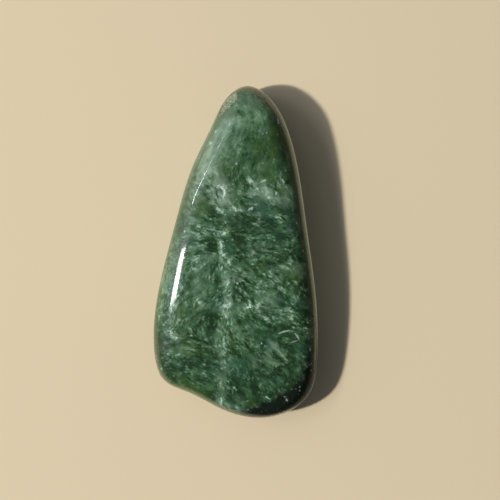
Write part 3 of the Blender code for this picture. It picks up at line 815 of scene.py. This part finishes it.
def breakChips(points, surface):
    # cuts the chips' broken faces, and gives how chipped each corner is
    chipped = np.zeros(len(points))
    for chip in stone["chips"]:
        (stepHeight, stepPerMm), (grainHeight, grainPerMm) = chip["steps"], chip["grain"]
        out = np.array(towards(chip["facing"], 90.0 - chip["lean"]))
        start = np.array(onTop(surface, *chip["at"]))
        beyond = (points - start) @ out
        distance = np.linalg.norm(points - start, axis=1)
        close = (distance < 2.0 * chip["reach"]) & (beyond > -chip["margin"])
        for index in np.flatnonzero(close):
            place = Vector(points[index])
            rough = stepHeight * noise.noise(place * stepPerMm)
            rough += grainHeight * noise.noise(place * grainPerMm)
            bowl = chip["bowl"] * max(1.0 - distance[index] / chip["reach"], 0.0)
            over = beyond[index] + bowl - rough
            if over > 0.0:
                points[index] -= out * over
                chipped[index] = min(over / chip["feather"], 1.0)
    return chipped


def addLayers(mesh, **layers):
    for name, values in layers.items():
        layer = mesh.attributes.new(name, "FLOAT", "POINT")
        layer.data.foreach_set("value", values.astype(np.float32))


def carve(mesh, surface, pits):
    # sinks the marks into the surface, and keeps how broken or chipped each corner is, how
    # white from crushing and from painted highlights on lit walls, and the hollow's painted shade
    count = len(mesh.vertices)
    points, normals = np.zeros(count * 3), np.zeros(count * 3)
    mesh.vertices.foreach_get("co", points)
    mesh.vertices.foreach_get("normal", normals)
    points, normals = points.reshape(-1, 3) / mm, normals.reshape(-1, 3)
    sink, crushed, broken, halo = (np.zeros(count) for layer in range(4))

    def mark(profile, depth, white):
        np.maximum(sink, depth * profile, out=sink)
        np.maximum(crushed, white * profile, out=crushed)
        np.maximum(broken, profile, out=broken)

    for at, length, width, turn, depth, white, seed, ragged, glow in pits:
        mark(pitProfile(points, at, length, width, turn, seed, ragged), depth, white)
        reach = pitReach(points, at, length, width, turn)
        halo += glow * np.exp(-((reach / stone["haloWidth"]) ** 2))
    for crack in stone["cracks"]:
        mark(crackProfile(points, crack), crack["depth"], crack["white"])

    # the hollow: a painted highlight on the side of its rim that faces the light, and painted
    # shade on the far side and inside
    hollow = stone["hollow"]
    at = onTop(surface, *hollow["at"])
    inside = pitProfile(points, at, hollow["length"], hollow["width"], hollow["turn"],
                        hollow["seed"], hollow["ragged"])
    mark(inside, hollow["depth"], 0.0)
    around = np.arctan2(points[:, 1] - at[1], points[:, 0] - at[0])
    facing = np.cos(around - math.radians(hollow["highlightSide"]))
    rim = 4.0 * inside * (1.0 - inside)  # 1 half way down its side, 0 at its foot and outside
    white = hollow["white"] * rim * np.clip(hollow["highlightPast"] + facing, 0.0, 1.0)
    crushed = np.maximum(crushed, np.clip(white, 0.0, 1.0))
    shade = rim * np.clip(hollow["shadePast"] - facing, 0.0, 1.0) + hollow["inside"] * inside

    wave = np.where(points[:, 2] < stone["wavesFrom"], 0.0, polishWaves(points))
    points += normals * (wave - sink)[:, None]
    chipped = breakChips(points, surface)
    mesh.vertices.foreach_set("co", (points * mm).ravel())
    mesh.update()
    addLayers(mesh, crushed=crushed, broken=broken, chipped=chipped, shade=shade,
              halo=np.clip(halo, 0.0, 1.0))
    return points, normals


def layFibres(mesh, points):
    # fibre direction as twice its turn, which has no jump where the turn passes half a circle
    cosines, sines = np.zeros(len(points)), np.zeros(len(points))
    for x, y, turn in stone["fibreGuides"]:
        distance = (points[:, 0] - x) ** 2 + (points[:, 1] - y) ** 2
        weight = np.exp(-distance / (2.0 * stone["fibreSpread"] ** 2))
        weight += stone["fibreFar"] / (1.0 + distance ** 2)
        cosines += weight * math.cos(2.0 * math.radians(turn))
        sines += weight * math.sin(2.0 * math.radians(turn))
    size = np.maximum(np.hypot(cosines, sines), 1e-12)  # never 0
    addLayers(mesh, fibreCos=cosines / size, fibreSin=sines / size)


def layTones(mesh, points):
    # mottles, tints and the seam
    tone, tint = np.zeros(len(points)), np.zeros(len(points))
    for x, y, radiusA, radiusB, turn, strength in stone["mottles"]:
        along, across = turned(points, x, y, turn)
        tone += strength * np.exp(-((along / radiusA) ** 2) - (across / radiusB) ** 2)
    for x, y, radiusX, radiusY, amount in stone["tints"]:
        along, across = turned(points, x, y, 0.0)
        tint += amount * np.exp(-((along / radiusX) ** 2) - (across / radiusY) ** 2)
    seam = stone["seam"]
    nearest, shares = pathDistance(points, seam["path"])[:2]
    close = np.exp(-((nearest / seam["width"]) ** 2))
    tone += close * alongPath(shares, seam["tone"])
    addLayers(mesh, mottle=tone, tint=tint, fleck=close * alongPath(shares, seam["fleck"]))


def laySides(mesh, points, normals):
    # the round sides, in part painted shade, the heel's corner in painted shade, and the pale
    # hazes, two of them a painted sheen
    heel = stone["heelPaintedShade"]
    side = eased(normals[:, 2], stone["sides"]["from"], stone["sides"]["to"])
    nearest, shares, beside = pathDistance(points, heel["path"])
    inside = nearest * beside
    for index in np.flatnonzero(nearest < heel["within"]):
        place = Vector(points[index])
        wobble = sum(share * noise.noise(place * perMm) for perMm, share in heel["wobbles"])
        inside[index] += (heel["ragged"] + heel["raggedSide"] * side[index]) * wobble
    dark = eased(inside, *heel["border"]) * np.interp(shares, *heel["ends"])
    clear = np.ones(len(points))
    for haze in stone["hazes"]:
        nearest, shares = pathDistance(points, haze["path"])[:2]
        fade = np.exp(-((nearest / haze["width"]) ** 2))
        clear *= 1.0 - alongPath(shares, haze["strength"]) * fade
    addLayers(mesh, side=side, dark=dark, haze=1.0 - clear)


def smearedFibres():
    # noise smeared along the fibres: fine streaks that follow any bend
    inputs = ("Place", "Way", "Grain", "Reach", "Contrast")
    group, start, streaks = newGroup("smearedFibres", inputs, "Streaks")
    taps = (-1.0, -0.5, 0.0, 0.5, 1.0)
    total = None
    for tap in taps:
        slide = calc(group, "MULTIPLY", start["Reach"], tap)
        place = vectorCalc(group, "ADD", start["Place"], scaled(group, start["Way"], slide))
        grain = noiseAt(group, place, start["Grain"], detail=1.0)
        total = grain if total is None else calc(group, "ADD", total, grain)
    mean = calc(group, "MULTIPLY", total, 1.0 / len(taps))
    swing = calc(group, "MULTIPLY", calc(group, "SUBTRACT", mean, 0.5), start["Contrast"])
    group.links.new(swing, streaks)
    return group


def fibreTufts():
    # short brush marks of fibres, each in a cell of its own, turned a little from the fibres' way
    inputs = ("Place", "Way", "Per mm", "Length", "Width", "Fan", "Frayed")
    group, start, tufts = newGroup("fibreTufts", inputs, "Tufts")
    cells, draws = cellsAt(group, start["Place"], start["Per mm"])
    away = vectorCalc(group, "SUBTRACT", start["Place"], cells.outputs["Position"])
    centred = calc(group, "SUBTRACT", draws.outputs["Red"], 0.5)
    turn = calc(group, "MULTIPLY", centred, start["Fan"])
    lean = put(group, "ShaderNodeVectorRotate", {"rotation_type": "Z_AXIS"}, Vector=start["Way"],
               Angle=turn).outputs["Vector"]
    along = vectorCalc(group, "DOT_PRODUCT", away, lean)
    beside = vectorCalc(group, "SUBTRACT", away, scaled(group, lean, along))
    across = vectorCalc(group, "LENGTH", beside)
    alongShare = calc(group, "DIVIDE", along, start["Length"])
    acrossShare = calc(group, "DIVIDE", across, start["Width"])
    squares = calc(group, "ADD", calc(group, "MULTIPLY", alongShare, alongShare),
                   calc(group, "MULTIPLY", acrossShare, acrossShare))
    frayed = calc(group, "ADD", calc(group, "SQRT", squares), start["Frayed"])
    body = ranged(group, frayed, *stone["look"]["tuftBody"], smooth=True)
    strength = ranged(group, draws.outputs["Green"], *stone["look"]["tuftStrength"])
    group.links.new(calc(group, "MULTIPLY", body, strength), tufts)
    return group


def seraphiniteMaterial():
    look, sides = stone["look"], stone["sides"]
    shifts = look["shifts"]
    material, tree = newMaterial("polishedSeraphinite")
    shader = tree.nodes["Principled BSDF"]
    where = tree.nodes.new("ShaderNodeTexCoord")
    place = scaled(tree, where.outputs["Object"], 1.0 / mm)
    alongStone = put(tree, "ShaderNodeSeparateXYZ", Vector=place).outputs["Y"]

    def layer(name):
        return put(tree, "ShaderNodeAttribute", {"attribute_name": name}).outputs["Fac"]

    def moved(shift):
        # the place as another noise sees it
        return vectorCalc(tree, "ADD", place, tuple(shift * way for way in look["shiftWay"]))

    def product(a, b):
        return calc(tree, "MULTIPLY", a, b)

    def blended(factor, colour, blend="MIX"):
        # the colour so far with another over it
        return mixColour(tree, factor, painted, colour, blend)

    turn = product(calc(tree, "ARCTAN2", layer("fibreSin"), layer("fibreCos")), 0.5)

    def wayOfFibres(perMm, radians, shift):
        sway = calc(tree, "SUBTRACT", noiseAt(tree, moved(shift), perMm), 0.5)
        swayed = calc(tree, "MULTIPLY_ADD", sway, radians, turn)
        across, along = calc(tree, "COSINE", swayed), calc(tree, "SINE", swayed)
        return put(tree, "ShaderNodeCombineXYZ", X=across, Y=along).outputs["Vector"]

    # tone: fibres, clouds and tufts over the listed mottles
    longer, calm = (ranged(tree, alongStone, *between, *times, smooth=True)
                    for between, times in (look["silk"], look["calm"]))
    perMm, between, times = look["busy"]
    busy = noiseAt(tree, moved(shifts["busy"]), perMm, detail=3.0)
    busy = ranged(tree, busy, *between, *times, smooth=True)
    tone = calc(tree, "MULTIPLY_ADD", layer("mottle"), look["mottle"], look["tone"])
    smeared = smearedFibres()
    streaks = []
    for number, (grain, reach, perMm, radians, contrast, share) in enumerate(look["fibres"]):
        way = wayOfFibres(perMm, radians, shifts["fibres"] * number)
        node = put(tree, "ShaderNodeGroup", {"node_tree": smeared}, Place=place, Way=way,
                   Grain=grain, Reach=product(longer, reach), Contrast=contrast)
        swing = node.outputs["Streaks"]
        streaks.append(swing)
        if grain > look["busyFrom"]:
            swing = product(swing, busy)
        tone = calc(tree, "MULTIPLY_ADD", product(swing, calm), share, tone)
    for number, (perMm, detail, roughness, share) in enumerate(look["clouds"]):
        apart = moved(shifts["clouds"] + number)
        clouds = noiseAt(tree, apart, perMm, detail, roughness, look["cloudWarp"])
        swing = product(calc(tree, "SUBTRACT", clouds, 0.5), calm)
        tone = calc(tree, "MULTIPLY_ADD", swing, share, tone)
    brushed = fibreTufts()
    frayed = product(streaks[1], look["tuftFray"])
    way = wayOfFibres(*look["tuftSway"], shifts["tufts"])
    tuftShare = calc(tree, "DIVIDE", 1.0, longer)
    for perMm, length, width, fan, share, shift in look["tufts"]:
        node = put(tree, "ShaderNodeGroup", {"node_tree": brushed}, Place=moved(shift), Way=way,
                   Per_mm=perMm, Length=length, Width=width, Fan=fan, Frayed=frayed)
        tufts = product(node.outputs["Tufts"], tuftShare)
        tone = calc(tree, "MULTIPLY_ADD", tufts, share, tone)
    # paler round the pits, and the hollow's painted shade
    for name in ("halo", "shade"):
        tone = calc(tree, "MULTIPLY_ADD", layer(name), look[name], tone)

    # colour
    ramp = put(tree, "ShaderNodeValToRGB", Fac=tone)
    while len(ramp.color_ramp.elements) < len(look["ramp"]):
        ramp.color_ramp.elements.new(0.5)
    for element, (position, colour) in zip(ramp.color_ramp.elements, look["ramp"]):
        element.position = position
        element.color = colour
    painted = ramp.outputs["Color"]
    perMm, detail = look["tint"]
    tint = calc(tree, "ADD", noiseAt(tree, moved(shifts["tint"]), perMm, detail), layer("tint"))
    for name in ("teal", "moss"):
        painted = blended(ranged(tree, tint, *look[name + "Where"], smooth=True), look[name])
    mist = noiseAt(tree, moved(shifts["mist"]), look["mistPerMm"])
    mist = ranged(tree, mist, *look["mistWhere"], smooth=True)
    painted = blended(product(mist, ranged(tree, tone, *look["mistTone"])), look["mist"])
    # the round sides: darker and plainer, in part painted shade
    painted = blended(layer("side"), sides["tint"], "MULTIPLY")
    painted = blended(product(layer("side"), sides["plainShare"]), sides["plain"])
    # pale hazes of fibres, and along the left edge a painted sheen of the soft light
    hazeAndSheenMask = calc(tree, "MULTIPLY_ADD", streaks[2], look["hazeFibres"], 1.0)
    hazeAndSheenMask = product(layer("haze"), hazeAndSheenMask)
    hazeAndSheenMask = product(hazeAndSheenMask, ranged(tree, layer("side"), *look["hazeSide"]))
    painted = blended(hazeAndSheenMask, look["haze"])
    # painted shade: the heel's corner nearly black, broken up by the fibres
    dark = calc(tree, "MULTIPLY_ADD", streaks[2], look["heelShadeFibres"], layer("dark"))
    painted = blended(ranged(tree, dark, *look["heelShadeWhere"]), look["heelPaintedShade"])

    # white: pits white from crushing, painted highlights on the hollow's rim and the cracks,
    # and fine specks that gather at the seam and round the pits
    gathered = calc(tree, "MAXIMUM", layer("fleck"), product(layer("halo"), look["haloGather"]))
    speckStrength = ranged(tree, gathered, 0.0, 1.0, *look["speckStrength"])
    powderAndHighlight = layer("crushed")
    for number, (perMm, bare) in enumerate(look["specks"]):
        cells, draws = cellsAt(tree, moved(shifts["specks"] + number), perMm)
        speck = ranged(tree, cells.outputs["Distance"], *look["speckSize"], smooth=True)
        bareHere = calc(tree, "MULTIPLY_ADD", gathered, look["speckGather"], bare)
        edge = calc(tree, "ADD", bareHere, look["speckEdge"])
        kept = ranged(tree, draws.outputs["Red"], bareHere, edge, smooth=True)
        speck = product(product(speck, kept), speckStrength)
        powderAndHighlight = calc(tree, "MAXIMUM", powderAndHighlight, speck)
    perMm, detail = look["dust"]
    dust = noiseAt(tree, moved(shifts["dust"]), perMm, detail)
    painted = blended(product(powderAndHighlight, ranged(tree, dust, *look["dustWhere"])), look["powderAndHighlightWhite"])
    perMm, detail = look["grit"]
    grit = noiseAt(tree, moved(shifts["grit"]), perMm, detail)
    grit = ranged(tree, grit, *look["gritWhere"])
    gritColour = mixColour(tree, grit, look["chipDark"], look["chipPale"])
    chipped = layer("chipped")
    painted = blended(product(chipped, look["chipShare"]), gritColour)
    tree.links.new(painted, shader.inputs["Base Color"])

    # gloss: a clear polish that every break and knock has lost
    rough = ranged(tree, streaks[1], *look["roughness"])
    matt = calc(tree, "MAXIMUM", layer("broken"), chipped)
    rough = calc(tree, "MAXIMUM", rough, product(matt, look["mattRoughness"]))
    tree.links.new(rough, shader.inputs["Roughness"])
    polished = ranged(tree, matt, *look["polishLost"], 1.0, 0.0)
    tree.links.new(polished, shader.inputs["Coat Weight"])
    shader.inputs["Coat Roughness"].default_value = look["coatRoughness"]
    shader.inputs["IOR"].default_value = look["ior"]
    shader.inputs["Specular IOR Level"].default_value = look["specular"]
    strength, distance = look["bump"]
    height = calc(tree, "MULTIPLY_ADD", streaks[0], look["bumpFibres"], product(dust, matt))
    bump = put(tree, "ShaderNodeBump", Height=height, Strength=strength, Distance=distance * mm)
    tree.links.new(bump.outputs["Normal"], shader.inputs["Normal"])
    return material


def makeStone():
    cage = cageFromFrame(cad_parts["stone"])
    guide = subdivided(cage, stone["guideRounding"])
    corners = [corner.co for corner in guide.vertices]
    surface = BVHTree.FromPolygons(corners, [face.vertices for face in guide.polygons])
    print("stone: smooth guide surface of", len(guide.polygons), "quads")
    pits = allPits(surface)
    mesh = refined(subdivided(cage, stone["rounding"]), surface, pits)
    bpy.data.meshes.remove(guide)
    points, normals = carve(mesh, surface, pits)
    layFibres(mesh, points)
    layTones(mesh, points)
    laySides(mesh, points, normals)
    mesh.shade_smooth()
    mesh.materials.clear()
    mesh.materials.append(seraphiniteMaterial())
    piece = placed(stone["name"], mesh)
    mesh.calc_loop_triangles()
    print("stone: carved, triangles:", len(mesh.loop_triangles))
    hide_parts("stone")
    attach(piece, "root")


makeCamera()
makeFloor()
makeCards()
makeLights()
makeStudio()
print("studio ready")
makeStone()
print("stone ready")
